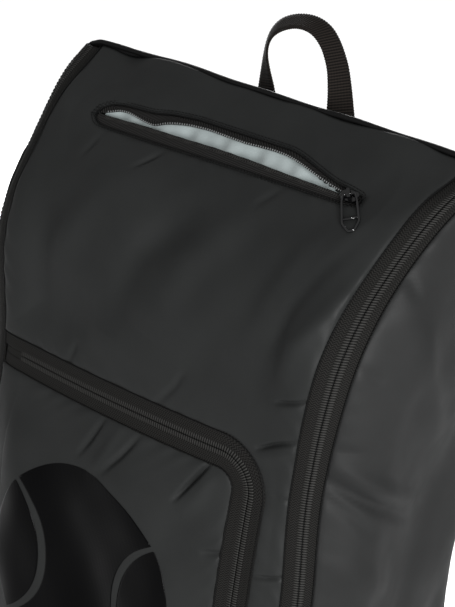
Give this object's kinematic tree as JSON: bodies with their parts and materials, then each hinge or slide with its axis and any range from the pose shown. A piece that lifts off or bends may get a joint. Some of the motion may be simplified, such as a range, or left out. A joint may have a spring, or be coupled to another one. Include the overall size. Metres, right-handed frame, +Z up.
{
  "type": "racket backpack",
  "caption": "Tall self-standing racket backpack with long side zips, a slanted zipped pocket high on the front, a zipped front pocket that swings open, a haul loop and padded shoulder straps.",
  "frame": {"origin": "middle of the base, on the floor it stands on", "axes": "+Z up; the front with its pockets faces -Y; +X is to the right for someone looking at the front"},
  "size_m": [0.368, 0.3214, 0.7749],
  "materials": {
    "shell": "smooth matte coated polyester, charcoal",
    "side_shell": "smooth matte coated polyester, charcoal",
    "base_fabric": "heavy matte coated fabric, black",
    "tape": "woven zip tape, black",
    "coil": "satin nylon coil, black",
    "webbing": "ribbed woven webbing, black",
    "piping": "smooth satin cord, black",
    "hardware": "glossy black die-cast metal",
    "lining": "soft silver-grey coated lining",
    "pocket_lining": "plain matte lining, dark grey",
    "film": "thin glossy black film",
    "padding": "air mesh over foam, black",
    "buckle": "moulded nylon, black",
    "board": "stiff plastic sheet, dark grey"
  },
  "bodies": {
    "bag": {"base_panel": "base_fabric", "base_band": "base_fabric", "base_board": "board", "front_panel": "shell", "side_panel_left": "side_shell", "side_panel_right": "side_shell", "rear_panel": "padding", "rear_frame_sheet": "board", "top_piping": "piping", "front_pocket_hinge_strip": "shell", "front_pocket_liner": "pocket_lining", "pocket_zip_tape_frame": "tape", "pocket_zip_coil_frame": "coil", "pocket_zip_tape_end": "tape", "pocket_zip_coil_end": "coil", "top_pocket_liner": "lining", "top_zip_tape_lower": "tape", "top_zip_coil_lower": "coil", "top_zip_tape_upper": "tape", "top_zip_coil_upper": "coil", "strap_yoke": "base_fabric", "main_zip_left_tape_front": "tape", "main_zip_left_coil_front": "coil", "main_zip_left_coil_side": "coil", "main_zip_left_tape_side": "tape", "strap_webbing_left": "webbing", "strap_anchor_left": "base_fabric", "back_pad_left": "padding", "main_zip_right_tape_front": "tape", "main_zip_right_coil_front": "coil", "main_zip_right_coil_side": "coil", "main_zip_right_tape_side": "tape", "strap_webbing_right": "webbing", "strap_anchor_right": "base_fabric", "back_pad_right": "padding"},
    "pocket_cover": {"front_pocket_cover": "shell", "emblem_left": "film", "emblem_middle": "film", "emblem_right": "film", "pocket_zip_tape_cover": "tape", "pocket_zip_coil_cover": "coil"},
    "top_slider": {"top_slider": "hardware"},
    "top_puller": {"top_puller": "hardware"},
    "pocket_slider": {"pocket_slider": "hardware"},
    "pocket_puller": {"pocket_puller": "hardware"},
    "main_slider_left": {"main_slider_left": "hardware"},
    "main_puller_left": {"main_puller_left": "hardware"},
    "main_slider_right": {"main_slider_right": "hardware"},
    "main_puller_right": {"main_puller_right": "hardware"},
    "haul_loop": {"haul_loop": "webbing"},
    "strap_left": {"shoulder_strap_left": "padding", "strap_buckle_left": "buckle"},
    "strap_right": {"shoulder_strap_right": "padding", "strap_buckle_right": "buckle"}
  },
  "joints": [
    {"name": "pocket_cover_hinge", "type": "hinge", "parent": "bag", "child": "pocket_cover", "pos_m": [-0.1335, -0.119, 0.286], "axis": [0, 0, -1], "range_deg": [0, 110]},
    {"name": "top_slider_slide", "type": "slide", "parent": "bag", "child": "top_slider", "axis": [-1, 0, 0], "range_m": [0, 0.214], "deforming": ["top_zip_coil_upper", "top_zip_tape_upper"]},
    {"name": "top_puller_hinge", "type": "hinge", "parent": "top_slider", "child": "top_puller", "pos_m": [0.109, -0.05488, 0.68664], "axis": [-0.809, -0.4702, -0.3527], "range_deg": [0, 100]},
    {"name": "pocket_slider_slide", "type": "slide", "parent": "bag", "child": "pocket_slider", "axis": [1, 0, 0], "range_m": [0, 0.165]},
    {"name": "pocket_puller_hinge", "type": "hinge", "parent": "pocket_slider", "child": "pocket_puller", "pos_m": [-0.098, -0.1223, 0.0685], "axis": [0, 0, -1], "range_deg": [0, 150]},
    {"name": "main_slider_left_slide", "type": "slide", "parent": "bag", "child": "main_slider_left", "axis": [0, 0, 1], "range_m": [0, 0.285]},
    {"name": "main_puller_left_hinge", "type": "hinge", "parent": "main_slider_left", "child": "main_puller_left", "pos_m": [-0.15454, -0.10739, 0.1], "axis": [-0.7716, 0.6361, 0], "range_deg": [0, 150]},
    {"name": "main_slider_right_slide", "type": "slide", "parent": "bag", "child": "main_slider_right", "axis": [0, 0, 1], "range_m": [0, 0.285]},
    {"name": "main_puller_right_hinge", "type": "hinge", "parent": "main_slider_right", "child": "main_puller_right", "pos_m": [0.15454, -0.10739, 0.1], "axis": [-0.7716, -0.6361, 0], "range_deg": [0, 150]},
    {"name": "haul_loop_hinge", "type": "hinge", "parent": "bag", "child": "haul_loop", "pos_m": [0, 0.04, 0.6809], "axis": [1, 0, 0], "range_deg": [-75, 25]},
    {"name": "strap_left_hinge", "type": "hinge", "parent": "bag", "child": "strap_left", "pos_m": [-0.046, 0.09182, 0.6], "axis": [1, 0, 0], "range_deg": [0, 25], "deforming": ["strap_webbing_left"]},
    {"name": "strap_right_hinge", "type": "hinge", "parent": "bag", "child": "strap_right", "pos_m": [0.046, 0.09182, 0.6], "axis": [1, 0, 0], "range_deg": [0, 25], "deforming": ["strap_webbing_right"]}
  ]
}
